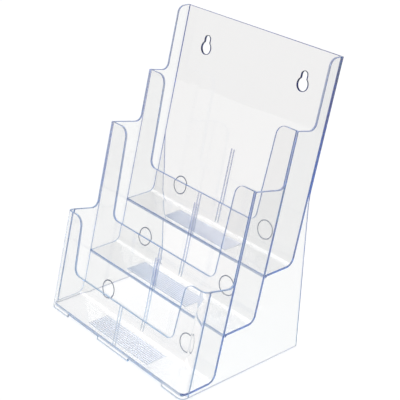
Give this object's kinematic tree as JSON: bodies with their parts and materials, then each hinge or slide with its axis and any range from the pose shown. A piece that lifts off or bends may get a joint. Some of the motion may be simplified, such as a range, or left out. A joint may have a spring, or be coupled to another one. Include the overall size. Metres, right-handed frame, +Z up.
{
  "type": "magazine rack",
  "caption": "Clear plastic countertop magazine rack: stepped, leaning pockets of bent sheet between two side walls, with notched front panels and keyholes for hanging.",
  "frame": {"origin": "bottom centre of the rack's bounding box, on the surface it stands on", "axes": "+X to the right seen from the front, +Y to the back, +Z up"},
  "size_m": [0.24, 0.2016, 0.3339],
  "materials": {
    "clear_sheet": "clear polished sheet",
    "clear_wall": "clear polished sheet",
    "clear_rib": "clear polished rib",
    "clear_ring": "clear polished ring",
    "clear_grip": "clear, finely ridged"
  },
  "bodies": {
    "root": {"front_panel": "clear_sheet", "lower_sheet": "clear_sheet", "middle_sheet": "clear_sheet", "top_sheet": "clear_sheet", "side_wall_left": "clear_wall", "side_wall_right": "clear_wall", "back_guide_lower": "clear_rib", "front_guide_lower": "clear_rib", "back_guide_middle": "clear_rib", "front_guide_middle": "clear_rib", "back_guide_top": "clear_rib", "front_guide_top": "clear_rib", "ring_lower_left": "clear_ring", "ring_lower_right": "clear_ring", "ring_middle_left": "clear_ring", "ring_middle_right": "clear_ring", "ring_top_left": "clear_ring", "ring_top_right": "clear_ring", "grip_lower": "clear_grip", "grip_middle": "clear_grip", "grip_top": "clear_grip"}
  },
  "joints": []
}
